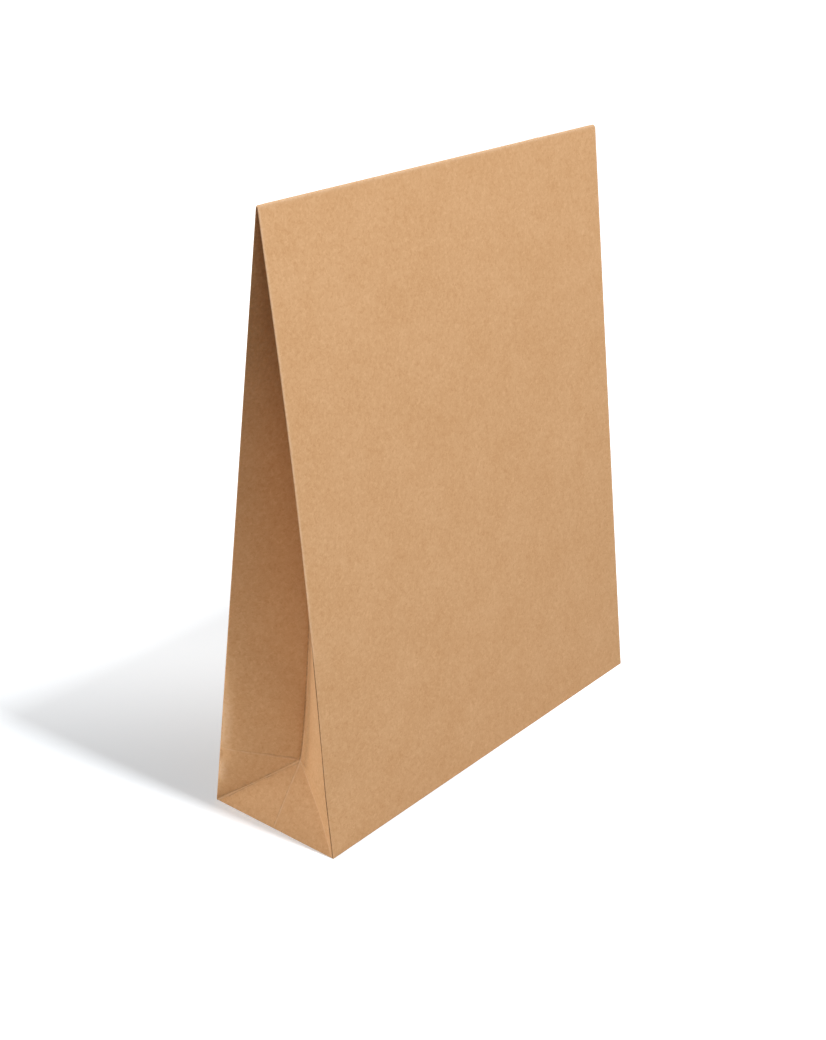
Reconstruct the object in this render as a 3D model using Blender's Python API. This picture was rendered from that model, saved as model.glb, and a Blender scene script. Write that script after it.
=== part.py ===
"""Brown paper bag standing closed, a wedge with side gussets folded in.

The bag is one sheet of kraft paper, glued into a tube, with a folded flat
bottom. It stands on its base and its mouth is closed at a fold along the top.
Nobody can see into it, so it is one closed solid with the bag's outer shape.

X runs across the wide panels, the front panel faces -Y, and Z is up.
The origin is the middle of the base, on the floor. Lengths are in metres.
"""
import math

import bmesh
import bpy

# The sheet once folded
WIDTH = 0.260
DEPTH = 0.081
HEIGHT = 0.316
TOP_THICKNESS = 0.0012
TOP_ROUND = 0.0006
TOP_CROWN = 0.0002
UPRIGHT_FOLD_THICKNESS = 0.0005

# Blunted ends of the top fold
LEFT_CORNER_CUT = 0.0008
RIGHT_CORNER_CUT = 0.0028
GUSSET_ROOF = 0.0004

# Foot of each gusset: a leaning triangle that rises from the floor to its tip
FOOT_SLANT = 0.0367
FOOT_LEAN = math.radians(34.7)
FOOT_CREASE_HEIGHT = 0.034
CREASE_CURVE = 0.7

# Front panel, whose left fold bows forward between the foot and the top
FRONT_BOW = 0.0031
BOW_REACH = 0.150

# Flap that closes the mouth, folded over the top and glued to the rear panel
FLAP_LENGTH = 0.040
FLAP_MARGIN = 0.004
FLAP_TAPER = 0.008
FLAP_THICKNESS = 0.0004

# Mesh spacing
ROW_COUNT = 24
COLUMN_COUNT = 12

TOUCH = 1e-6
KRAFT_COLOUR = (0.604, 0.366, 0.192, 1.0)
KRAFT_ROUGHNESS = 0.85


def half_depth(z):
    """Half the distance between the front and rear panels at height z."""
    straight = DEPTH / 2 + (TOP_THICKNESS - DEPTH) / 2 * z / HEIGHT
    over = max(0.0, z - (HEIGHT - TOP_ROUND)) / TOP_ROUND
    rounded = (TOP_THICKNESS / 2 - TOP_CROWN) * (1 - math.sqrt(max(0.0, 1 - over * over)))
    return straight - rounded


def crease_depth(z):
    """How far the centre crease of a gusset lies inside the bag's side at height z."""
    foot_height = FOOT_SLANT * math.cos(FOOT_LEAN)
    foot_depth = FOOT_SLANT * math.sin(FOOT_LEAN)
    rise = (z - foot_height) / (HEIGHT - foot_height)
    return foot_depth + (DEPTH / 2 - foot_depth) * rise ** CREASE_CURVE


def front_bow(x, z):
    """How far the front panel stands forward of its flat plane."""
    across = 1 - (x + WIDTH / 2) / BOW_REACH
    up = (z - FOOT_CREASE_HEIGHT) / (HEIGHT - FOOT_CREASE_HEIGHT)
    if across <= 0 or up <= 0:
        return 0.0
    return FRONT_BOW * across ** 2 * math.sin(math.pi * up)


def kraft_paper():
    material = bpy.data.materials.new("kraft_paper")
    material.use_nodes = True
    shader = material.node_tree.nodes["Principled BSDF"]
    shader.inputs["Base Color"].default_value = KRAFT_COLOUR
    shader.inputs["Roughness"].default_value = KRAFT_ROUGHNESS
    shader.inputs["Metallic"].default_value = 0.0
    return material


def near(a, b):
    return abs(a - b) < TOUCH


def corner_cut(side):
    return LEFT_CORNER_CUT if side < 0 else RIGHT_CORNER_CUT


def gusset_top(side):
    """Height at which a gusset closes, just under the blunted end of the top fold."""
    return HEIGHT - corner_cut(side) - GUSSET_ROOF


def upright_box():
    """The bag as an unfolded box, with the two ends of its top blunted."""
    bm = bmesh.new()
    bmesh.ops.create_cube(bm, size=1.0)
    bmesh.ops.scale(bm, vec=(WIDTH, DEPTH, HEIGHT), verts=bm.verts)
    bmesh.ops.translate(bm, vec=(0, 0, HEIGHT / 2), verts=bm.verts)
    for side in (-1, 1):
        end = [e for e in bm.edges
               if all(near(v.co.x, side * WIDTH / 2) and near(v.co.z, HEIGHT) for v in e.verts)]
        bmesh.ops.bevel(bm, geom=end, offset=corner_cut(side), offset_type="OFFSET",
                        segments=1, profile=0.5, affect="EDGES")
    return bm


def cut(bm, faces, point, normal):
    """Adds the line where a plane crosses the given faces."""
    edges = {e for f in faces for e in f.edges}
    verts = {v for f in faces for v in f.verts}
    geom = list(verts) + list(edges) + list(faces)
    bmesh.ops.bisect_plane(bm, geom=geom, dist=TOUCH, plane_co=point, plane_no=normal)


def side_faces(bm, side):
    return [f for f in bm.faces if all(near(v.co.x, side * WIDTH / 2) for v in f.verts)]


def score_creases(bm):
    """Scores the rows, the columns and the gusset creases on the box."""
    rows = [FOOT_CREASE_HEIGHT, HEIGHT - FLAP_LENGTH, HEIGHT - TOP_ROUND, HEIGHT - TOP_ROUND / 3]
    rows += [gusset_top(-1), gusset_top(1)]
    top_row = gusset_top(1)
    step = (top_row - FOOT_CREASE_HEIGHT) / ROW_COUNT
    rows += [FOOT_CREASE_HEIGHT + step * i for i in range(1, ROW_COUNT)]
    for z in sorted(rows):
        cut(bm, bm.faces[:], (0, 0, z), (0, 0, 1))
    columns = [WIDTH * (i / COLUMN_COUNT - 0.5) for i in range(1, COLUMN_COUNT)]
    columns += [FLAP_MARGIN - WIDTH / 2, WIDTH / 2 - FLAP_MARGIN]
    for x in columns:
        cut(bm, bm.faces[:], (x, 0, 0), (1, 0, 0))
    for side in (-1, 1):
        inner = DEPTH / 2 - UPRIGHT_FOLD_THICKNESS
        for y in (-inner, 0.0, inner):
            cut(bm, side_faces(bm, side), (0, y, 0), (0, 1, 0))
        tip = side_vertex(bm, side, 0.0, FOOT_CREASE_HEIGHT)
        for y in (-inner, inner):
            bmesh.ops.connect_verts(bm, verts=[side_vertex(bm, side, y, 0.0), tip])


def side_vertex(bm, side, y, z):
    return next(v for v in bm.verts
                if near(v.co.x, side * WIDTH / 2) and near(v.co.y, y) and near(v.co.z, z))


def fold_gusset(x, z):
    """Where a point of a gusset's centre line goes when the gusset is folded in."""
    side = -1 if x < 0 else 1
    if near(z, 0.0) or z > gusset_top(side) + TOUCH:
        return x, z
    if near(z, FOOT_CREASE_HEIGHT):
        inwards = FOOT_SLANT * math.sin(FOOT_LEAN)
        return x - side * inwards, FOOT_SLANT * math.cos(FOOT_LEAN)
    return x - side * crease_depth(z), z


def taper_flap(x, z):
    """Draws a point of the flap's side edge in towards the flap's free end."""
    side = -1 if x < 0 else 1
    down = HEIGHT - z
    if near(abs(x), WIDTH / 2 - FLAP_MARGIN) and down < FLAP_LENGTH + TOUCH:
        return x - side * FLAP_TAPER * down / FLAP_LENGTH
    return x


def fold_up(bm):
    """Leans the panels together, bows the front one and folds the gussets in."""
    for v in bm.verts:
        x, y, z = v.co
        face = -1 if y < 0 else 1
        inset = DEPTH / 2 - abs(y)
        if near(y, 0.0) and near(abs(x), WIDTH / 2):
            new_x, new_z = fold_gusset(x, z)
            v.co = (new_x, 0.0, new_z)
            continue
        lean = half_depth(z) - inset
        if face < 0:
            v.co.y = -lean - front_bow(x, z)
        else:
            v.co.y = lean
            v.co.x = taper_flap(x, z)


def rear_flap_faces(bm):
    found = []
    for f in bm.faces:
        low = HEIGHT - FLAP_LENGTH - TOUCH
        reach = WIDTH / 2 - FLAP_MARGIN + TOUCH
        on_rear = all(v.co.y > 0 and v.co.z > low and abs(v.co.x) < reach for v in f.verts)
        if on_rear and f.normal.y > 0.5:
            found.append(f)
    return found


def lay_flap(bm):
    """Raises the flap on the rear panel, rounded over at the top fold."""
    bm.normal_update()
    faces = rear_flap_faces(bm)
    raised = bmesh.ops.extrude_face_region(bm, geom=faces)["geom"]
    bmesh.ops.delete(bm, geom=faces, context="FACES")
    for v in (item for item in raised if isinstance(item, bmesh.types.BMVert)):
        over = max(0.0, v.co.z - (HEIGHT - TOP_ROUND)) / TOP_ROUND
        v.co.y += FLAP_THICKNESS * (1 - over / 2)


def paper_bag(parts):
    bm = upright_box()
    score_creases(bm)
    fold_up(bm)
    lay_flap(bm)
    bmesh.ops.triangulate(bm, faces=bm.faces[:], quad_method="FIXED", ngon_method="BEAUTY")
    bmesh.ops.recalc_face_normals(bm, faces=bm.faces[:])
    mesh = bpy.data.meshes.new("paper_bag")
    bm.to_mesh(mesh)
    bm.free()
    bag = bpy.data.objects.new("paper_bag", mesh)
    mesh.materials.append(kraft_paper())
    parts.objects.link(bag)
    return bag


def main():
    for thing in list(bpy.data.objects):
        bpy.data.objects.remove(thing, do_unlink=True)
    parts = bpy.data.collections.new("brown_paper_bag")
    bpy.context.scene.collection.children.link(parts)
    paper_bag(parts)


main()
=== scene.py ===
# %% [markdown]
# # A brown paper bag, standing closed
#
# A paper bag is one sheet. A machine glues it into a flat tube with a fold tucked into each
# side, the gusset, and folds one end of the tube into a rectangular bottom. Stood up and
# closed at the top, it is a wedge with a V-shaped recess down each side.
#
# This notebook builds the sheet's outer surface the way the paper takes its form: a plain
# box is scored along every fold, then folded up all at once. After that come the small
# marks that folding leaves, the paper itself, and the light.

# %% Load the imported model
import math

import bmesh
import bpy
from mathutils import Matrix, Vector, noise


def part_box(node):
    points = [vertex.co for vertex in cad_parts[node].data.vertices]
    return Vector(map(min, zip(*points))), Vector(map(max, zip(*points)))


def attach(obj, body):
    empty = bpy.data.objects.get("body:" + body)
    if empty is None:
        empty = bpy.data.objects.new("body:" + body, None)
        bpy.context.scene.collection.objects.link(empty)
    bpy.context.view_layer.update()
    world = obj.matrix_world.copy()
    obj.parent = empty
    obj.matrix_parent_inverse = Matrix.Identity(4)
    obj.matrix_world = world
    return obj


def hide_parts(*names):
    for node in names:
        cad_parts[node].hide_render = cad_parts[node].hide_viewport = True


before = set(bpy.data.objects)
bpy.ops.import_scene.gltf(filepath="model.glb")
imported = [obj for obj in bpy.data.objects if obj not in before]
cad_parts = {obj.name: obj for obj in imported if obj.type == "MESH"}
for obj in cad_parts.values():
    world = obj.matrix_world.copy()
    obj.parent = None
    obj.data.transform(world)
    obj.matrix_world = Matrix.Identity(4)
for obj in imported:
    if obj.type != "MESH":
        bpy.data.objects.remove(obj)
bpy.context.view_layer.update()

low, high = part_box("paper_bag")
WIDTH = high.x - low.x
DEPTH = high.y - low.y
HEIGHT = high.z - low.z

# %% [markdown]
# ## The viewpoint
#
# The bag is seen from its left front corner, a little from above. A viewpoint like this can
# be found by matching the corners of the object, and it comes down to three plain angles:
# a turn about the upright axis, a tilt down, and a slight roll of the camera.

# %% Camera
CAMERA_TURN = math.radians(-51.12)
CAMERA_TILT = math.radians(23.80)
CAMERA_ROLL = math.radians(0.76)
CAMERA_PLACE = Vector((-0.6232, -0.4854, 0.4745))
IMAGE_HEIGHT = 1040
FOCAL_PIXELS = 1632
SENSOR_SIZE = 36.0

camera_data = bpy.data.cameras.new("viewpoint")
camera_data.sensor_width = SENSOR_SIZE
camera_data.lens = FOCAL_PIXELS / IMAGE_HEIGHT * SENSOR_SIZE
camera = bpy.data.objects.new("viewpoint", camera_data)
turn = Matrix.Rotation(CAMERA_TURN, 4, "Z")
tilt = Matrix.Rotation(math.pi / 2 - CAMERA_TILT, 4, "X")
roll = Matrix.Rotation(CAMERA_ROLL, 4, "Z")
camera.matrix_world = Matrix.Translation(CAMERA_PLACE) @ turn @ tilt @ roll
bpy.context.scene.collection.objects.link(camera)
bpy.context.scene.camera = camera
print(f"lens {camera_data.lens:.1f} mm")

# %% [markdown]
# ## The opened-out box
#
# Opened right out, the bag is a box with the width and depth of its base. A cube primitive
# gives it. The two ends of its top edge are blunted with the bevel operator, the right one
# more, because handling has rounded that corner.

# %% Sides and halves
TOUCH = 1e-6
LEFT, RIGHT = -1, 1
FRONT, REAR = -1, 1


def near(a, b):
    return abs(a - b) < TOUCH


def sign(value):
    """Which side or half a point is on, from its x or its y."""
    return -1 if value < 0 else 1


# %% Selecting in code
def select(kind, test):
    """Selects the vertices, edges or faces in edit mode that pass a test, and counts them."""
    bpy.ops.mesh.select_mode(type=kind)
    bpy.ops.mesh.select_all(action="DESELECT")
    mesh = bmesh.from_edit_mesh(bpy.context.object.data)
    parts = {"VERT": mesh.verts, "EDGE": mesh.edges, "FACE": mesh.faces}[kind]
    chosen = [part for part in parts if test(part)]
    for part in chosen:
        part.select_set(True)
    mesh.select_flush_mode()
    bmesh.update_edit_mesh(bpy.context.object.data)
    return len(chosen)


# %% Box with blunted top ends
CORNER_CUTS = {LEFT: 0.0008, RIGHT: 0.0016}

bpy.ops.object.select_all(action="DESELECT")
bpy.ops.mesh.primitive_cube_add(size=1, location=(0, 0, HEIGHT / 2))
bag = bpy.context.object
bag.name = "folded_kraft_bag"
bag.scale = (WIDTH, DEPTH, HEIGHT)
bpy.ops.object.transform_apply(location=True, rotation=True, scale=True)

bpy.ops.object.mode_set(mode="EDIT")
for side, cut in CORNER_CUTS.items():
    select("EDGE", lambda edge: all(
        near(v.co.x, side * WIDTH / 2) and near(v.co.z, HEIGHT) for v in edge.verts))
    bpy.ops.mesh.bevel(offset=cut, segments=1, affect="EDGES")
print(f"box with {len(bmesh.from_edit_mesh(bag.data).faces)} faces")

# %% Cutting along a plane
def score(point, normal, test=None):
    """Cuts the faces that pass a test, or all of them, along a plane."""
    if test is None:
        bpy.ops.mesh.select_all(action="SELECT")
    else:
        select("FACE", test)
    bpy.ops.mesh.bisect(plane_co=point, plane_no=normal, threshold=TOUCH)


def spread(start, end, step):
    """Evenly spaced places between two ends, without the ends."""
    count = max(1, round((end - start) / step))
    return [start + (end - start) * i / count for i in range(1, count)]


# %% [markdown]
# ## Scoring the gussets
#
# A gusset has a crease down its middle, a level crease near its foot, and two slanting
# creases from the bottom corners to the point where those meet. Each is scored with a few
# parallel lines, so that the mark it leaves can be raised or sunk. The narrow strip along
# each upright fold gets lines of its own, and will become the half-round of the fold.

# %% Lines along the gussets
GRID = 0.0026
GUSSET_GRID = GRID * 0.8
FOLD_THICKNESS = 0.0005
INNER = DEPTH / 2 - FOLD_THICKNESS
FOOT_CREASE = 0.034
CREASE_LINES = (-0.0011, -0.00085, -0.00055, -0.0003, 0.0, 0.00025, 0.0005, 0.00075, 0.0011)
EDGE_LINES = (0.0003, 0.0007, 0.0012, 0.0020)
FOLD_SHARES = (0.0, 0.12, 0.28, 0.44, 0.6, 0.8, 0.94)


def on_side(face, side):
    return all(near(v.co.x, side * WIDTH / 2) for v in face.verts)


for side in (LEFT, RIGHT):
    places = list(CREASE_LINES)
    for half in (FRONT, REAR):
        places += [half * y for y in spread(CREASE_LINES[-1], INNER - EDGE_LINES[-1], GUSSET_GRID)]
        places += [half * (INNER - line) for line in EDGE_LINES]
        places += [half * (INNER + FOLD_THICKNESS * share) for share in FOLD_SHARES]
    for y in sorted(places):
        score((0, y, 0), (0, 1, 0), lambda face: on_side(face, side))
    for line in CREASE_LINES:
        score((0, 0, FOOT_CREASE + line), (0, 0, 1), lambda face: on_side(face, side))
print(f"{len(places)} upright lines on each gusset")


# %% Slanting creases of the foot
def in_foot(face, side, half):
    """Whether a face lies in one half of a gusset's foot, under the level crease."""
    return on_side(face, side) and all(
        half * v.co.y > -TOUCH and abs(v.co.y) < INNER + TOUCH and v.co.z < FOOT_CREASE + TOUCH
        for v in face.verts)


for side in (LEFT, RIGHT):
    for half in (FRONT, REAR):
        across = Vector((0, half * FOOT_CREASE, INNER)).normalized()
        for line in CREASE_LINES:
            corner = Vector((0, half * INNER, 0)) + across * line
            score(corner, across, lambda face: in_foot(face, side, half))
print(f"scored box has {len(bmesh.from_edit_mesh(bag.data).faces)} faces")

# %% [markdown]
# ## Scoring the base
#
# Underneath, two long flaps are folded in from the front and the rear, over the folded ends
# of the gussets, and glued. Their ends run in at 45 degrees from the corners. Two close
# parallel lines along each paper edge allow a step as steep as the edge of the paper.

# %% Lines of the base
BASE_GRID = GRID * 1.3
BASE_FLAP = 0.054
PAPER_STEP = 0.0001


def on_base(face):
    return all(near(v.co.z, 0.0) for v in face.verts)


for y in spread(-DEPTH / 2, DEPTH / 2, BASE_GRID):
    score((0, y, 0), (0, 1, 0), on_base)
for y in (BASE_FLAP - DEPTH / 2, BASE_FLAP - DEPTH / 2 + PAPER_STEP):
    score((0, y, 0), (0, 1, 0), on_base)
for side in (LEFT, RIGHT):
    for half in (FRONT, REAR):
        slant = Vector((side, -half, 0)).normalized()
        for step in (0.0, PAPER_STEP):
            corner = Vector((side * WIDTH / 2, half * DEPTH / 2, 0)) + slant * step
            score(corner, slant, on_base)
print(f"base cut into {sum(on_base(f) for f in bmesh.from_edit_mesh(bag.data).faces)} faces")

# %% [markdown]
# ## Scoring rows and columns
#
# A flat panel needs points between its edges before it can bend. The bisect operator slices
# the selected faces along a plane, so a stack of planes gives rows and columns. They lie
# closer together beside a fold, where the paper turns sharply and where small marks go. The
# rows and columns come last, because every cut before them is quicker on a bare box.

# %% Columns
FLAP_MARGIN = 0.004
FLAP_SIDE = WIDTH / 2 - FLAP_MARGIN
SEAM = 0.078

for line in EDGE_LINES:
    for x in (line - WIDTH / 2, WIDTH / 2 - line):
        score((x, 0, 0), (1, 0, 0), lambda face: not on_base(face))
columns = spread(-FLAP_SIDE, FLAP_SIDE, GRID) + [-FLAP_SIDE, FLAP_SIDE, SEAM, SEAM + PAPER_STEP]
for x in sorted(columns):
    score((x, 0, 0), (1, 0, 0))
print(f"{len(columns)} columns, and {len(EDGE_LINES)} beside each upright fold")

# %% Rows
GUSSET_ROOF = 0.0004
FLAP_LENGTH = 0.040
FLAP_END = HEIGHT - FLAP_LENGTH
TOP_ROUND = 0.0006
TOP_ROWS = (1.0, 0.7, 0.4, 0.2, 0.05)
BASE_ROUND = 0.0004
BASE_ROWS = (0.15, 0.5, 1.0, 2.2)


def gusset_top(side):
    """Height at which a gusset closes, just under the blunted end of the top fold."""
    return HEIGHT - CORNER_CUTS[side] - GUSSET_ROOF


rows = [BASE_ROUND * share for share in BASE_ROWS]
rows += spread(BASE_ROUND * BASE_ROWS[-1], FOOT_CREASE, GRID)
rows += spread(FOOT_CREASE, FLAP_END, GRID)
rows += spread(FLAP_END, gusset_top(RIGHT), GRID)
rows += [FOOT_CREASE, FLAP_END, gusset_top(LEFT), gusset_top(RIGHT)]
rows += [HEIGHT - TOP_ROUND * share for share in TOP_ROWS]
for z in sorted(rows):
    score((0, 0, z), (0, 0, 1))
print(f"{len(rows)} rows")

bpy.ops.object.mode_set(mode="OBJECT")
print(f"scored sheet has {len(bag.data.polygons)} faces")

# %% [markdown]
# ## Folding it up
#
# Every point of the scored box has a place on the folded bag. The front and rear panels
# lean together towards the top. The middle of each gusset is drawn in, further the higher
# it is, because half the gusset's width of paper always lies between the crease and the
# upright fold. The foot of the gusset is a leaning triangle. Moving the points by rule is
# easier to read and to change than dozens of moves by hand.

# %% Shape of the panels
TOP_THICKNESS = 0.0012
TOP_CROWN = 0.0002
FRONT_BOW = 0.0031
BOW_REACH = 0.150


def half_depth(z):
    """Half the distance between the front and rear panels at height z."""
    straight = DEPTH / 2 + (TOP_THICKNESS - DEPTH) / 2 * z / HEIGHT
    over = min(1.0, max(0.0, z - (HEIGHT - TOP_ROUND)) / TOP_ROUND)
    return straight - (TOP_THICKNESS / 2 - TOP_CROWN) * (1 - math.sqrt(1 - over * over))


def front_bow(x, z):
    """How far the front panel stands forward, most in the middle of its left fold."""
    across = max(0.0, 1 - (x + WIDTH / 2) / BOW_REACH)
    up = min(1.0, max(0.0, (z - FOOT_CREASE) / (HEIGHT - FOOT_CREASE)))
    return FRONT_BOW * across ** 2 * math.sin(math.pi * up)


# %% Shape of the gussets
FOOT_SLANT = 0.0367
FOOT_LEAN = math.radians(34.7)
FOOT_SETTLE = 0.030
CREASE_CURVE = 0.6

TIP_HEIGHT = FOOT_SLANT * math.cos(FOOT_LEAN)
TIP_DEPTH = FOOT_SLANT * math.sin(FOOT_LEAN)


def crease_point(side, z):
    """A point of the gusset's centre crease, from the foot's tip up to the top."""
    settle = (FOOT_CREASE - TIP_HEIGHT) * max(0.0, 1 - (z - FOOT_CREASE) / FOOT_SETTLE)
    height = z - settle
    rise = max(0.0, height - TIP_HEIGHT) / (HEIGHT - TIP_HEIGHT)
    depth = TIP_DEPTH + (DEPTH / 2 - TIP_DEPTH) * rise ** CREASE_CURVE
    return Vector((side * (WIDTH / 2 - depth), 0, height))


def fold_edge(side, half, z):
    """The inner edge of the upright fold that half a gusset hangs from."""
    y = half * (half_depth(z) - FOLD_THICKNESS)
    if half == FRONT:
        y -= front_bow(side * WIDTH / 2, z)
    return Vector((side * WIDTH / 2, y, z))


def folded_gusset(x, y, z):
    """Where a point of the flat gusset goes when the gusset is folded in."""
    side, half = sign(x), sign(y)
    share = abs(y) / INNER
    if z > gusset_top(side) + TOUCH:
        return fold_edge(side, half, z) * share + Vector((side * WIDTH / 2, 0, z)) * (1 - share)
    if z >= FOOT_CREASE:
        return fold_edge(side, half, z) * share + crease_point(side, z) * (1 - share)
    corner = fold_edge(side, half, 0.0)
    middle = Vector((side * WIDTH / 2, 0, 0))
    shoulder = fold_edge(side, half, FOOT_CREASE)
    tip = crease_point(side, FOOT_CREASE)
    up = z / FOOT_CREASE
    if up < 1 - share:
        return tip * up + corner * share + middle * (1 - up - share)
    return tip * (1 - share) + shoulder * (up + share - 1) + corner * (1 - up)


# %% Half-round of the upright folds, and taper of the flap
FLAP_TAPER = 0.008
TAPER_REACH = 0.040


def half_round(y):
    """How far a point on the narrow strip of an upright fold lies in from the bag's side."""
    across = min(1.0, abs(2 * (abs(y) - INNER) / FOLD_THICKNESS - 1))
    return FOLD_THICKNESS / 2 * (1 - math.sqrt(1 - across * across))


def flap_taper(x, y, z):
    """How far a point of the rear panel is drawn in, so that the flap's edge slants."""
    down = HEIGHT - z
    if abs(x) > FLAP_SIDE + TOUCH or not near(y, DEPTH / 2) or down > FLAP_LENGTH + TOUCH:
        return 0.0
    share = max(0.0, 1 - (FLAP_SIDE - abs(x)) / TAPER_REACH)
    return FLAP_TAPER * share * down / FLAP_LENGTH


# %% Fold every point
def on_gusset(point):
    return near(abs(point.x), WIDTH / 2) and abs(point.y) < INNER + TOUCH


def folded_panel(x, y, z):
    """Where a point of the front, the rear, the base or an upright fold goes."""
    new_x = x - sign(x) * flap_taper(x, y, z)
    new_y = sign(y) * (half_depth(z) - (DEPTH / 2 - abs(y)))
    if abs(y) < INNER - TOUCH:
        new_y = y * half_depth(z) / (DEPTH / 2)
    if y < 0:
        new_y -= front_bow(x, z) * min(1.0, abs(new_y) / half_depth(z))
    if near(abs(x), WIDTH / 2):
        new_x -= sign(x) * half_round(y)
    return Vector((new_x, new_y, z))


flat = [v.co.copy() for v in bag.data.vertices]
for vertex, point in zip(bag.data.vertices, flat):
    vertex.co = folded_gusset(*point) if on_gusset(point) else folded_panel(*point)
bag.data.update()
print(f"folded {len(flat)} points")

# %% [markdown]
# ## Marks of folding
#
# A crease in stiff paper isn't a perfect line. The fibres break into a thin raised or sunken
# thread beside it, the sheet buckles softly between the creases, and the outer side of a
# fold is worn paler. Each mark is a small height above the folded surface, found from where
# the point lay on the flat sheet. Two numbers are kept for the paper's material as well: how
# much paler the point is painted, partly for wear and partly as a painted highlight, and how
# much painted shade it gets, mostly in creases and gutters.

# %% Small helpers for marks
SEED = Vector((3.1, 7.7, 1.9))
UNEVEN_WAVE = 0.003


def bead(distance, width):
    """A rounded bump that is 1 on a line and 0 beyond its width."""
    return max(0.0, 1 - (distance / width) ** 2) ** 2


def between(value, start, end):
    """Goes smoothly from 0 at start to 1 at end, whichever of them is larger.

    Where a mark reaches or fades between two places, they are kept as such a pair.
    """
    share = min(1.0, max(0.0, (value - start) / (end - start)))
    return share * share * (3 - 2 * share)


def wander(point, size):
    """Soft seeded noise between about -1 and 1, with waves about as long as size."""
    return noise.noise(point / size + SEED)


# %% [markdown]
# ## Creases of the gussets
#
# The centre crease leaves a raised thread with a gutter beside it. The slanting creases of
# the foot leave a ridge, strong in the rear half and faint in the front one, and the level
# crease shows in the rear half only. Each is a rounded bump or hollow across the crease.
# Noise makes the marks of the foot and of the level crease uneven, as broken fibres are.

# %% Marks of the centre crease
THREAD_PLACE = -0.0001
THREAD_WIDTH = 0.0006
THREAD_HEIGHT = 0.00014
THREAD_FADE = (0.140, 0.110)
GUTTER_PLACE = 0.0007
GUTTER_WIDTH = 0.0004
GUTTER_DEPTH = 0.00016
GUTTER_SHADE = 0.6
GUTTER_FADE = (0.125, 0.100)
NECK_SHADE = 0.20
NECK_RISE = (0.19, 0.26)
FRONT_SHADE = 0.22
FRONT_SHADE_PLACE = -0.0065
FRONT_SHADE_WIDTH = 0.0060


def upper_gusset_marks(point):
    """Height, paleness (worn and painted highlight) and painted shade above the level crease."""
    thread = bead(point.y - THREAD_PLACE, THREAD_WIDTH)
    gutter = bead(point.y - GUTTER_PLACE, GUTTER_WIDTH)
    height = THREAD_HEIGHT * thread - GUTTER_DEPTH * gutter
    height *= half_depth(point.z) / (DEPTH / 2)
    # The gutter, the narrow top of the gusset and a strip of the front half beside the crease get
    # painted shade; the thread is painted paler, partly worn and partly a painted highlight.
    shade = GUTTER_SHADE * gutter * between(point.z, *GUTTER_FADE)
    shade += NECK_SHADE * between(point.z, *NECK_RISE)
    if point.y < 0:
        shade += FRONT_SHADE * bead(point.y - FRONT_SHADE_PLACE, FRONT_SHADE_WIDTH)
    return height, thread * between(point.z, *THREAD_FADE), shade


# %% Marks of the foot
REAR_RIDGE_WIDTH = 0.0007
REAR_RIDGE_HEIGHT = 0.0003
FRONT_RIDGE_WIDTH = 0.0005
FRONT_RIDGE_HEIGHT = 0.00008
RIDGE_WEAR_AND_HIGHLIGHT = 1.3
SLANT_GUTTER_PLACE = 0.00085
UPPER_GUTTER_WIDTH = 0.0004
UPPER_GUTTER_SHADE = 0.7
LOWER_GUTTER_WIDTH = 0.00035
LOWER_GUTTER_SHADE = 0.45
FOOT_GUTTER_DEPTH = 0.0001
MIDDLE_GUTTER_PLACE = 0.0005
MIDDLE_GUTTER_WIDTH = 0.00035
MIDDLE_GUTTER_SHADE = 0.45


def foot_slant_distance(y, z):
    """Distance on the flat sheet from the slanting crease, above it when positive."""
    return (FOOT_CREASE * abs(y) + INNER * z - FOOT_CREASE * INNER) / math.hypot(FOOT_CREASE, INNER)


def slant_marks(y, z):
    """Height, ridge and gutters of the slanting crease in one half of the foot."""
    slant = foot_slant_distance(y, z)
    if y <= 0:
        ridge = bead(slant, FRONT_RIDGE_WIDTH)
        return FRONT_RIDGE_HEIGHT * ridge, ridge, 0.0
    ridge = bead(slant, REAR_RIDGE_WIDTH)
    gutters = UPPER_GUTTER_SHADE * bead(slant - SLANT_GUTTER_PLACE, UPPER_GUTTER_WIDTH)
    gutters += LOWER_GUTTER_SHADE * bead(slant + SLANT_GUTTER_PLACE, LOWER_GUTTER_WIDTH)
    return REAR_RIDGE_HEIGHT * ridge - FOOT_GUTTER_DEPTH * gutters, ridge, gutters


def foot_marks(point):
    """Height, paleness (worn and painted highlight) and painted shade of the leaning triangle's
    marks.
    """
    height, ridge, gutters = slant_marks(point.y, point.z)
    middle = bead(point.y - THREAD_PLACE, THREAD_WIDTH)
    middle_gutter = bead(point.y - MIDDLE_GUTTER_PLACE, MIDDLE_GUTTER_WIDTH)
    height += THREAD_HEIGHT * middle - FOOT_GUTTER_DEPTH * middle_gutter
    # The ridges and the middle thread are painted paler, partly worn and partly a painted
    # highlight; the gutters get painted shade.
    return height, RIDGE_WEAR_AND_HIGHLIGHT * ridge + middle, gutters + MIDDLE_GUTTER_SHADE * middle_gutter


# %% Painted highlight beside the rear left fold
STRIP_REACH = (0.0060, 0.0020)
STRIP_TOP = (0.080, 0.055)
STRIP_END = (0.030, 0.040)
EAR_HEIGHT = 0.0205
EAR_HIGHLIGHT = 1.2
EAR_HIGHLIGHT_LENGTH = 0.0095
EAR_REACH = (0.0046, 0.0032)


def rear_strip_highlight(inward, z):
    """Painted highlight beside the rear left fold: a long strip, and a small ear below it."""
    strip = between(inward, *STRIP_REACH) * between(z, *STRIP_TOP) * between(z, *STRIP_END)
    ear = EAR_HIGHLIGHT * bead(z - EAR_HEIGHT, EAR_HIGHLIGHT_LENGTH) * between(inward, *EAR_REACH)
    return max(strip, ear)


# %% All marks of a gusset's creases
UNEVEN_MIDDLE = 0.75
UNEVEN_SWING = 0.7
LEVEL_WIDTH = 0.0004
LEVEL_HEIGHT = 0.00016
LEVEL_SHADE = 0.5
LEVEL_GUTTER_PLACE = 0.0006
LEVEL_GUTTER_WIDTH = 0.00035
LEVEL_SHADE_FADE = (0.036, 0.006)


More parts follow.
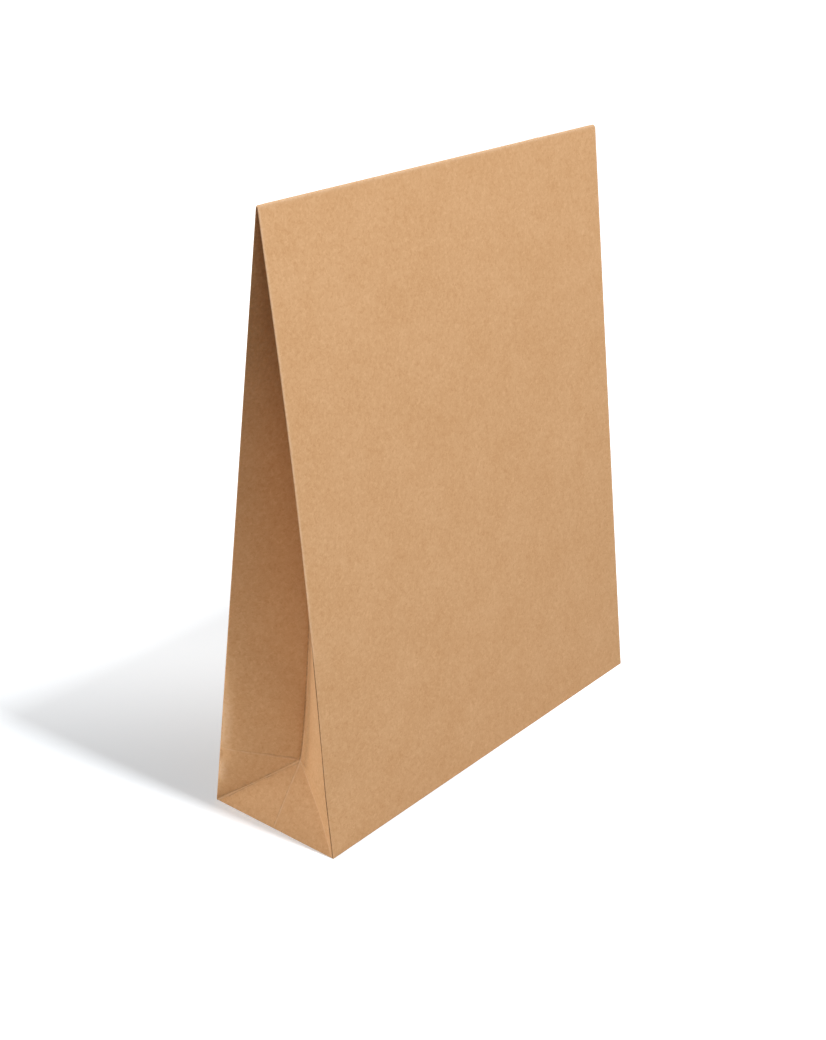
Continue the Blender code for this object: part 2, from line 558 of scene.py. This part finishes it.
def gusset_marks(point):
    """Height, paleness (worn and painted highlight) and painted shade of a gusset's crease marks.
    """
    uneven = UNEVEN_MIDDLE + UNEVEN_SWING * wander(point, UNEVEN_WAVE)
    if point.z > FOOT_CREASE:
        height, worn_and_highlit, shade = upper_gusset_marks(point)
    else:
        height, worn_and_highlit, shade = (mark * uneven for mark in foot_marks(point))
    if point.y > 0:
        above = point.z - FOOT_CREASE
        # The level crease's thread is painted paler, partly worn and partly a painted highlight,
        # and the gutter above it gets painted shade.
        level = bead(above, LEVEL_WIDTH) * uneven
        gutter = bead(above - LEVEL_GUTTER_PLACE, LEVEL_GUTTER_WIDTH) * uneven
        height += LEVEL_HEIGHT * level
        worn_and_highlit += level
        shade += LEVEL_SHADE * gutter * between(point.y, *LEVEL_SHADE_FADE)
    # Beside the rear left fold a painted highlight stands where the bent sheet turns towards the
    # light.
    if point.x < 0 and point.y > 0:
        worn_and_highlit += rear_strip_highlight(INNER - point.y, point.z)
    return height, worn_and_highlit, shade


# %% [markdown]
# ## Buckles of the left gusset
#
# Low down, the rear half of the left gusset isn't flat. A swell stands above its foot and
# ends in a low crest that slants across the half, and beside the rear fold there are a small
# raised ear and a dent. Smooth bumps that are added to each other give such forms, and they
# fade out at the folds, which hold the sheet.

# %% Buckles and waves of the gussets
BUCKLE_TOP = 0.084
BUCKLE_DROP = 0.024
BUCKLE_BEND = 0.0036
CREST_HEIGHT = 0.0015
CREST_WIDTH = 0.013
CREST_BLUNTNESS = 0.7
SWELL_HEIGHT = 0.0024
SWELL_TOP = (0.004, -0.014)
SWELL_END = (0.003, 0.018)
EAR_SWELL = 0.0011
EAR_LENGTH = 0.0080
EAR_PLACE = 0.0024
DENT_HEIGHT = 0.0295
DENT_DEPTH = 0.0008
DENT_LENGTH = 0.0055
DENT_PLACE = 0.0018
SPOT_WIDTH = 0.0030
SPOT_EDGE = 0.001
GUSSET_WAVE = 0.045
GUSSET_WAVE_HEIGHT = 0.00025
GUSSET_RIM = 0.02


def left_buckles(y, z):
    """Soft bulges of the rear half of the left gusset, which faces the viewer."""
    inward = min(INNER, max(0.0, INNER - y))
    above = z - BUCKLE_TOP + BUCKLE_DROP * inward / INNER
    across = math.sin(math.pi * inward / INNER) ** CREST_BLUNTNESS
    crest = CREST_HEIGHT * math.exp(-(above / CREST_WIDTH) ** 2) * across
    bend = (1 - math.exp(-inward / BUCKLE_BEND)) * (1 - inward / INNER)
    swell = SWELL_HEIGHT * between(above, *SWELL_TOP) * between(z, *SWELL_END) * bend
    ear = EAR_SWELL * bead(z - EAR_HEIGHT, EAR_LENGTH) * bead(inward - EAR_PLACE, SPOT_WIDTH)
    dent = DENT_DEPTH * bead(z - DENT_HEIGHT, DENT_LENGTH) * bead(inward - DENT_PLACE, SPOT_WIDTH)
    return crest + swell + (ear - dent) * between(inward, 0.0, SPOT_EDGE)


def gusset_waves(point):
    """Soft waves of a gusset, which fade out at its creases, at its foot and at the top."""
    across = math.sin(math.pi * min(1.0, abs(point.y) / INNER))
    fade = between(point.z, 0.0, GUSSET_RIM) * half_depth(point.z) / (DEPTH / 2)
    return GUSSET_WAVE_HEIGHT * across * fade * wander(point, GUSSET_WAVE)


# %% [markdown]
# ## Base, panels and upright folds
#
# The base shows the steps of its folded layers, a guess from how such bags are made. The
# panels are nearly flat, with soft waves that calm down towards the folds, and the rear one
# has the glued seam of the tube. The upright folds are painted paler, partly worn and partly
# a painted highlight, except for the lower part of the front left one. There the outer sheet
# stands off a little, and a thin slot shows between it and the gusset, sunk a little and
# darkened with painted shade.

# %% Marks on the base
FLAP_STEP = 0.00015
LAP_STEP = 0.00013
MITRE_STEP = PAPER_STEP * 1.4
BASE_RIM = 0.004


def base_marks(point):
    """How far the layers of the base sit above the lowest one, faded out at its rim."""
    from_front = point.y + DEPTH / 2
    from_rear = DEPTH / 2 - point.y
    from_end = WIDTH / 2 - abs(point.x)
    past_front_end = between(from_end, from_front, from_front - MITRE_STEP)
    past_rear_end = between(from_end, from_rear, from_rear - MITRE_STEP)
    past_front_flap = between(from_front, BASE_FLAP, BASE_FLAP + PAPER_STEP)
    level = FLAP_STEP * max(past_front_flap, past_front_end)
    level += LAP_STEP * past_front_end * past_rear_end
    return level * between(min(from_front, from_rear, from_end), 0.0, BASE_RIM)


# %% Marks on the panels
LONG_WAVE = 0.070
LONG_WAVE_HEIGHT = 0.00022
SHORT_WAVE = 0.012
SHORT_WAVE_HEIGHT = 0.00003
PANEL_RIM = 0.030
SEAM_STEP = 0.00015
SEAM_LAP = 0.016


def panel_marks(point):
    """Height of the seam and of the soft waves of the front and rear panels."""
    inside = min(WIDTH / 2 - abs(point.x), HEIGHT - point.z, point.z)
    waves = LONG_WAVE_HEIGHT * wander(point, LONG_WAVE)
    waves += SHORT_WAVE_HEIGHT * wander(point, SHORT_WAVE)
    height = between(inside, 0.0, PANEL_RIM) * waves
    if point.y > 0:
        lap = SEAM - point.x
        height += SEAM_STEP * between(lap, -PAPER_STEP, 0.0) * between(lap, SEAM_LAP, 0.0)
    return height


# %% Marks of the upright folds
FOLD_WEAR_AND_HIGHLIGHT_REACH = (0.0016, 0.0003)
FRONT_LEAST_WEAR_AND_HIGHLIGHT = 0.15
FRONT_WEAR_AND_HIGHLIGHT_RISE = (0.095, 0.125)
SLOT_SIDE = FOLD_THICKNESS * 0.7
SLOT_PLACE = FOLD_THICKNESS * 0.1
SLOT_WIDTH = FOLD_THICKNESS * 0.8
SLOT_TOP = (0.122, 0.100)
SLOT_DEPTH = 0.0005
SLOT_SHADE = 1.4
SLOT_MIDDLE = 0.85
SLOT_SWING = 0.5


def front_left_slot(point):
    """Strength of the thin slot beside the front left fold, uneven along its length."""
    outward = abs(point.y) - INNER
    if not near(abs(point.x), WIDTH / 2) or outward >= SLOT_SIDE:
        return 0.0
    slot = bead(outward - SLOT_PLACE, SLOT_WIDTH) * between(point.z, *SLOT_TOP)
    return slot * (SLOT_MIDDLE + SLOT_SWING * wander(point, UNEVEN_WAVE))


def fold_marks(point):
    """Height, paleness (worn and painted highlight) and painted shade beside the upright folds."""
    # The upright folds are painted paler, partly worn and partly a painted highlight, and the slot
    # beside the front left fold gets painted shade as well as being sunk.
    worn_and_highlit = between(WIDTH / 2 - abs(point.x), *FOLD_WEAR_AND_HIGHLIGHT_REACH)
    if point.x > 0 or point.y > 0:
        return 0.0, worn_and_highlit, 0.0
    slot = front_left_slot(point)
    worn_and_highlit_share = FRONT_LEAST_WEAR_AND_HIGHLIGHT + (1 - FRONT_LEAST_WEAR_AND_HIGHLIGHT) * between(point.z, *FRONT_WEAR_AND_HIGHLIGHT_RISE)
    return -SLOT_DEPTH * slot, worn_and_highlit * worn_and_highlit_share * (1 - slot), SLOT_SHADE * slot


# %% [markdown]
# ## Raising and sinking the points
#
# The heights of all marks at a point are added up, and the point moves that far along the
# normal of the folded surface. The front slanting crease of the left foot is also drawn a
# little towards the front fold, which bends it.

# %% Marks at any point
FOLD_REACH = 0.003
TOP_WEAR_AND_HIGHLIGHT_REACH = (0.0016, 0.0004)


def marks(point):
    """Height, paleness (worn and painted highlight) and painted shade at a point of the flat sheet.
    """
    height = worn_and_highlit = shade = 0.0
    if near(point.z, 0.0):
        height = -base_marks(point)
    elif on_gusset(point):
        height, worn_and_highlit, shade = gusset_marks(point)
        height += gusset_waves(point)
        if point.x < 0 and point.y > 0:
            height += left_buckles(point.y, point.z)
    elif near(abs(point.y), DEPTH / 2):
        height = panel_marks(point)
    if abs(point.x) > WIDTH / 2 - FOLD_REACH and abs(point.y) > INNER - TOUCH:
        fold_height, wear_and_highlight, fold_shade = fold_marks(point)
        height += fold_height
        worn_and_highlit = max(worn_and_highlit, wear_and_highlight)
        shade = max(shade, fold_shade)
    # Along the top fold the sheet is painted paler, partly worn and partly a painted highlight.
    worn_and_highlit = max(worn_and_highlit, between(HEIGHT - point.z, *TOP_WEAR_AND_HIGHLIGHT_REACH))
    return height, min(1.0, worn_and_highlit), min(1.0, shade)


# %% Raise and sink the points
SLANT_BOW = 0.0013
SLANT_BOW_WIDTH = 0.005
SLANT_BOW_EDGE = 0.004


def front_slant_bow(y, z):
    """How far the front slanting crease is drawn towards the front fold."""
    slant = foot_slant_distance(y, z)
    along = math.sin(math.pi * min(1.0, z / FOOT_CREASE))
    edge = between(INNER - abs(y), 0.0, SLANT_BOW_EDGE)
    return SLANT_BOW * along * math.exp(-(slant / SLANT_BOW_WIDTH) ** 2) * edge


for vertex, point in zip(bag.data.vertices, flat):
    if on_gusset(point) and point.x < 0 and point.y < 0 and point.z < FOOT_CREASE:
        vertex.co.y -= front_slant_bow(point.y, point.z)

lifts, worn_and_highlit_values, shades = zip(*(marks(point) for point in flat))
normals = [v.normal.copy() for v in bag.data.vertices]
for vertex, normal, lift in zip(bag.data.vertices, normals, lifts):
    vertex.co += normal * lift

# %% [markdown]
# ## Rounding the foot
#
# The bag doesn't stand on knife edges. Where the panels turn under, the paper bends over a
# radius of about half a millimetre, and that thin rounding is what draws the dark line
# between the bag and the floor.

# %% Round the lower edge
for vertex, point in zip(bag.data.vertices, flat):
    if point.z > BASE_ROUND + TOUCH:
        continue
    up = 1 - point.z / BASE_ROUND
    inset = BASE_ROUND * (1 - math.sqrt(max(0.0, 1 - up * up)))
    if near(abs(point.x), WIDTH / 2):
        vertex.co.x -= math.copysign(inset, point.x)
    if near(abs(point.y), DEPTH / 2):
        vertex.co.y -= math.copysign(inset, point.y)
bag.data.update()

# %% Keep the marks for the material
# The first attribute is paleness, partly worn and partly a painted highlight; the second is painted
# shade.
for name, values in (("wear_and_highlight", worn_and_highlit_values), ("crease_shade", shades)):
    attribute = bag.data.attributes.new(name, "FLOAT", "POINT")
    attribute.data.foreach_set("value", values)
print("wear and shade kept as attributes")

# %% [markdown]
# ## The closing flap
#
# At the top, the sheet is folded over to the rear and glued down. The faces of the rear
# panel that lie under the flap are extruded by the thickness of the paper with its glue,
# and the raised points are brought round at the very top, so that the fold is one curve.

# %% Raise the flap on the rear panel
FLAP_THICKNESS = 0.0004
FACING_REAR = 0.3
SMOOTH_ANGLE = math.radians(42)

bpy.ops.object.select_all(action="DESELECT")
bag.select_set(True)
bpy.context.view_layer.objects.active = bag
bpy.ops.object.mode_set(mode="EDIT")


def under_flap(face):
    """Whether a rear face lies inside the flap's slanting side edges."""
    middle = face.calc_center_median()
    taper = FLAP_TAPER * (HEIGHT - middle.z) / FLAP_LENGTH
    return (face.normal.y > FACING_REAR and middle.y > 0 and middle.z > FLAP_END
            and abs(middle.x) < FLAP_SIDE - taper / 2)


flap_faces = select("FACE", under_flap)
bpy.ops.mesh.extrude_region_move(TRANSFORM_OT_translate={"value": (0, FLAP_THICKNESS, 0)})
mesh = bmesh.from_edit_mesh(bag.data)
for vertex in mesh.verts:
    if vertex.select:
        over = min(1.0, max(0.0, vertex.co.z - (HEIGHT - TOP_ROUND)) / TOP_ROUND)
        vertex.co.y -= FLAP_THICKNESS * over / 2
bmesh.update_edit_mesh(bag.data)
open_edges = sum(len(edge.link_faces) != 2 for edge in mesh.edges)
bpy.ops.mesh.select_all(action="SELECT")
bpy.ops.mesh.normals_make_consistent(inside=False)
bpy.ops.object.mode_set(mode="OBJECT")
bpy.ops.object.shade_smooth_by_angle(angle=SMOOTH_ANGLE)
print(f"flap of {flap_faces} faces, {open_edges} open edges, {len(bag.data.polygons)} faces in all")

# %% [markdown]
# ## Kraft paper
#
# Unbleached kraft is a mat of brown wood fibres, pressed flat. Seen closely it is a web of
# fine curved strokes, some paler and some darker than the sheet, over soft clouds where the
# fibres lie thicker. Noise makes all of it here. It is read at each point's own place on
# the bag, in metres, so the web keeps its real size however the bag is turned.

# %% Paper material and its helpers
paper = bpy.data.materials.new("kraft_paper")
paper.use_nodes = True
nodes = paper.node_tree.nodes
links = paper.node_tree.links
place = nodes.new("ShaderNodeTexCoord")


def feed(value, socket):
    """Puts a number, a colour or the output of another node into a socket."""
    if isinstance(value, (int, float, tuple)):
        socket.default_value = value
    else:
        links.new(value, socket)


def arithmetic(operation, first, second):
    node = nodes.new("ShaderNodeMath")
    node.operation = operation
    feed(first, node.inputs[0])
    feed(second, node.inputs[1])
    return node.outputs["Value"]


def remap(value, from_low, from_high, to_low, to_high, curve="LINEAR"):
    node = nodes.new("ShaderNodeMapRange")
    node.interpolation_type = curve
    numbers = (from_low, from_high, to_low, to_high)
    for name, number in zip(("From Min", "From Max", "To Min", "To Max"), numbers):
        node.inputs[name].default_value = number
    feed(value, node.inputs["Value"])
    return node.outputs["Result"]


def pattern(waves_per_metre, detail, seed):
    """A noise with a given fineness; each seed gives another pattern."""
    node = nodes.new("ShaderNodeTexNoise")
    node.noise_dimensions = "4D"
    node.inputs["Scale"].default_value = waves_per_metre
    node.inputs["Detail"].default_value = detail
    node.inputs["W"].default_value = seed
    links.new(place.outputs["Object"], node.inputs["Vector"])
    return node.outputs["Fac"]


# %% [markdown]
# ## Fibres
#
# A noise rises and falls smoothly, so the places where it passes through its middle value
# form long winding lines. Kept thin and broken up by a second noise, they become short
# curved strokes like fibres: about half a millimetre wide and a few millimetres long.

# %% Fibre strokes
PALE_STROKES = ({"waves_per_metre": 330, "half_width": 0.055, "seed": 1},
                {"waves_per_metre": 500, "half_width": 0.075, "seed": 2})
DARK_STROKES = ({"waves_per_metre": 370, "half_width": 0.055, "seed": 3},
                {"waves_per_metre": 540, "half_width": 0.075, "seed": 4})
BREAK_FINENESS = 1.2
BREAK_SEED = 7
BREAK_RANGE = (0.46, 0.56)


def fibres(waves_per_metre, half_width, seed):
    """Thin winding lines of one fineness, broken up into strokes."""
    from_middle = arithmetic("SUBTRACT", pattern(waves_per_metre, 1.0, seed), 0.5)
    line = remap(arithmetic("ABSOLUTE", from_middle, 0.0), 0.0, half_width, 1.0, 0.0)
    breaks = pattern(waves_per_metre * BREAK_FINENESS, 0.0, seed + BREAK_SEED)
    return arithmetic("MULTIPLY", line, remap(breaks, *BREAK_RANGE, 0.0, 1.0))


pale_fibres = arithmetic("ADD", *(fibres(**stroke) for stroke in PALE_STROKES))
dark_fibres = arithmetic("ADD", *(fibres(**stroke) for stroke in DARK_STROKES))

# %% Clouds, mottle, grain and specks
SPECKS_PER_METRE = 120
SPECK_EDGE = (0.02, 0.05)

clouds = pattern(waves_per_metre=40, detail=2.0, seed=11)
mottle = pattern(waves_per_metre=230, detail=2.0, seed=12)
grain = pattern(waves_per_metre=1100, detail=2.0, seed=13)

cells = nodes.new("ShaderNodeTexVoronoi")
cells.inputs["Scale"].default_value = SPECKS_PER_METRE
links.new(place.outputs["Object"], cells.inputs["Vector"])
specks = remap(cells.outputs["Distance"], *SPECK_EDGE, 1.0, 0.0)

# %% Tone of the sheet, from each part's own middle and its share
TONE_PARTS = ((clouds, 0.5, 0.60), (mottle, 0.5, 0.50), (grain, 0.5, 0.42),
              (pale_fibres, 0.2, 0.30), (dark_fibres, 0.2, -0.30), (specks, 0.0, -0.60))
tone = 0.5
for part, middle, share in TONE_PARTS:
    change = arithmetic("MULTIPLY", arithmetic("SUBTRACT", part, middle), share)
    tone = arithmetic("ADD", tone, change)
print(f"the tone of the sheet has {len(TONE_PARTS)} parts")

# %% [markdown]
# ## Colour of the sheet
#
# The tone runs from a dark fibre to a pale one. In proportion, blue changes most between the
# two, so the darker places are also the warmer ones. Along the folds and crease ridges the
# sheet is painted paler, partly worn and partly a painted highlight. In the creases, the slot
# and the narrow top of each gusset it is painted darker, which is painted shade. Both come
# from the attributes that were kept on the mesh, and a fine noise breaks them up.

# %% Colours
DARK_FIBRE = (0.564, 0.306, 0.135, 1.0)
PALE_FIBRE = (0.684, 0.414, 0.217, 1.0)
# Paler colour for worn places and for painted highlights.
RUBBED_AND_HIGHLIGHT = (0.690, 0.440, 0.255, 1.0)
# Darker colour for painted shade in creases, gutters, the slot and the narrow top of the gussets.
PAINTED_SHADE = (0.260, 0.160, 0.085, 1.0)
MARK_BREAKS_FROM = (0.36, 0.60)
MARK_BREAKS_TO = (0.45, 1.25)

mark_breaks = pattern(waves_per_metre=650, detail=1.0, seed=14)


def mixed(share, first, second):
    """A colour between two; each is a fixed colour or the output of another node."""
    node = nodes.new("ShaderNodeMix")
    node.data_type = "RGBA"
    feed(share, node.inputs["Factor"])
    feed(first, node.inputs["A"])
    feed(second, node.inputs["B"])
    return node.outputs["Result"]


def kept(name):
    """One of the attributes kept on the mesh, broken up by noise."""
    node = nodes.new("ShaderNodeAttribute")
    node.attribute_name = name
    breaks = remap(mark_breaks, *MARK_BREAKS_FROM, *MARK_BREAKS_TO)
    return arithmetic("MULTIPLY", node.outputs["Fac"], breaks)


sheet = mixed(tone, DARK_FIBRE, PALE_FIBRE)
# Paler where worn and where a painted highlight stands in for light; then darker with painted
# shade.
sheet = mixed(kept("wear_and_highlight"), sheet, RUBBED_AND_HIGHLIGHT)
sheet = mixed(kept("crease_shade"), sheet, PAINTED_SHADE)

# %% Surface
SHEEN = 0.25
ROUGHNESS_FROM_TONE = (0.3, 0.7, 0.86, 0.78)
GRAIN_RELIEF = 0.5
MOTTLE_RELIEF = 1.2
RELIEF_STRENGTH = 0.5
RELIEF_HEIGHT = 0.00001

shader = nodes["Principled BSDF"]
shader.inputs["Specular IOR Level"].default_value = SHEEN
links.new(sheet, shader.inputs["Base Color"])
links.new(remap(tone, *ROUGHNESS_FROM_TONE), shader.inputs["Roughness"])
relief = arithmetic("ADD", arithmetic("MULTIPLY", grain, GRAIN_RELIEF), pale_fibres)
relief = arithmetic("ADD", relief, arithmetic("MULTIPLY", mottle, MOTTLE_RELIEF))
bump = nodes.new("ShaderNodeBump")
bump.inputs["Strength"].default_value = RELIEF_STRENGTH
bump.inputs["Distance"].default_value = RELIEF_HEIGHT
links.new(relief, bump.inputs["Height"])
links.new(bump.outputs["Normal"], shader.inputs["Normal"])
print(f"kraft paper has {len(nodes)} nodes")

# %% Hand the bag over
bag.data.materials.clear()
bag.data.materials.append(paper)
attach(bag, "root")
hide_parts("paper_bag")

# %% [markdown]
# ## Floor
#
# The floor is a pale matt sheet that is large enough to fill the view, and it takes the
# bag's shadow. Its colour and glow have two sides, told apart by the light path. What the
# camera or a shiny surface sees is nearly white, with a glow that is weak near the bag, so
# that the shadow stays, and full further off, where the lamps fade. A little more glow
# towards the back lets the shadow melt away. What lights the bag is a plain light grey
# without any glow, so the white look puts no extra light on the paper.

# %% Floor plane
FLOOR_SIZE = 14

bpy.ops.object.select_all(action="DESELECT")
bpy.ops.mesh.primitive_plane_add(size=FLOOR_SIZE, location=(0, 0, 0))
floor = bpy.context.object
floor.name = "floor"
floor_paint = bpy.data.materials.new("pale_floor")
floor_paint.use_nodes = True
floor.data.materials.append(floor_paint)
print(f"floor {FLOOR_SIZE} m wide")

# %% Colour of the floor, made by the paper's helpers, which now build in its nodes
FLOOR_PAINT = (0.81, 0.85, 0.885, 1.0)
BOUNCE_PAINT = (0.55, 0.55, 0.55, 1.0)

nodes = floor_paint.node_tree.nodes
links = floor_paint.node_tree.links
place = nodes.new("ShaderNodeTexCoord")
rays = nodes.new("ShaderNodeLightPath")
seen = arithmetic("MAXIMUM", rays.outputs["Is Camera Ray"], rays.outputs["Is Glossy Ray"])
seen = arithmetic("MAXIMUM", seen, rays.outputs["Is Transmission Ray"])
matt = nodes["Principled BSDF"]
matt.inputs["Roughness"].default_value = 1.0
matt.inputs["Specular IOR Level"].default_value = 0.0
links.new(mixed(seen, BOUNCE_PAINT, FLOOR_PAINT), matt.inputs["Base Color"])

# %% Glow of the floor
GLOW_NEAR = 0.235
GLOW_START = 0.35
GLOW_FULL = 1.1
AWAY = (0.762, 0.648, 0.0)
FADE_START = -0.065
FADE_END = 0.10
FADE = 0.36

distance = nodes.new("ShaderNodeVectorMath")
distance.operation = "LENGTH"
links.new(place.outputs["Object"], distance.inputs[0])
depth = nodes.new("ShaderNodeVectorMath")
depth.operation = "DOT_PRODUCT"
depth.inputs[1].default_value = AWAY
links.new(place.outputs["Object"], depth.inputs[0])
around = remap(distance.outputs["Value"], GLOW_START, GLOW_FULL, GLOW_NEAR, 1.0, "SMOOTHSTEP")
behind = remap(depth.outputs["Value"], FADE_START, FADE_END, 0.0, FADE, "SMOOTHSTEP")
strength = arithmetic("ADD", around, behind)
strength.node.use_clamp = True
glow = nodes.new("ShaderNodeEmission")
links.new(arithmetic("MULTIPLY", strength, seen), glow.inputs["Strength"])
both = nodes.new("ShaderNodeAddShader")
links.new(matt.outputs["BSDF"], both.inputs[0])
links.new(glow.outputs["Emission"], both.inputs[1])
links.new(both.outputs["Shader"], nodes["Material Output"].inputs["Surface"])
print(f"floor paint has {len(nodes)} nodes")

# %% [markdown]
# ## Light
#
# The key light is a narrow upright lamp, high in front of the bag. Narrow means that the
# shadow's side edge is crisp, and its height lets the far end melt away. A large soft lamp
# behind the left side brightens the edge of the gusset from there. A small warm lamp near
# the floor reaches into the foot of the gusset, as light thrown back by a surface nearby
# would. A weak even sky keeps the rest from going black.

# %% Lamps
WHITE = (1.0, 1.0, 1.0)
COOL = (0.95, 0.97, 1.0)
WARM = (1.0, 0.90, 0.77)


def soft_lamp(name, place, aim, size, power, colour):
    """A rectangular area lamp at a place, turned to face a point."""
    light = bpy.data.lights.new(name, "AREA")
    light.shape = "RECTANGLE"
    light.size, light.size_y = size
    light.energy = power
    light.color = colour
    lamp = bpy.data.objects.new(name, light)
    lamp.location = place
    lamp.rotation_euler = (Vector(place) - Vector(aim)).to_track_quat("Z", "Y").to_euler()
    lamp.visible_camera = False
    bpy.context.scene.collection.objects.link(lamp)


soft_lamp("key_lamp", place=(0.019, -1.094, 1.805), aim=(0.0, 0.0, 0.10),
          size=(0.168, 0.42), power=39.8, colour=WHITE)
soft_lamp("fill_lamp", place=(-1.00, 1.12, 1.06), aim=(-0.13, 0.0, 0.08),
          size=(0.9, 0.9), power=14, colour=COOL)
soft_lamp("low_lamp", place=(-0.40, 0.05, 0.03), aim=(-0.13, 0.0, 0.01),
          size=(0.20, 0.04), power=0.27, colour=WARM)

# %% Sky
SKY_COLOUR = (1.0, 1.0, 1.0, 1.0)
SKY_STRENGTH = 0.113

world = bpy.data.worlds.new("studio")
bpy.context.scene.world = world
world.use_nodes = True
sky = world.node_tree.nodes["Background"]
sky.inputs["Color"].default_value = SKY_COLOUR
sky.inputs["Strength"].default_value = SKY_STRENGTH
bpy.context.scene.view_settings.view_transform = "Standard"
print("lamps and sky are set")
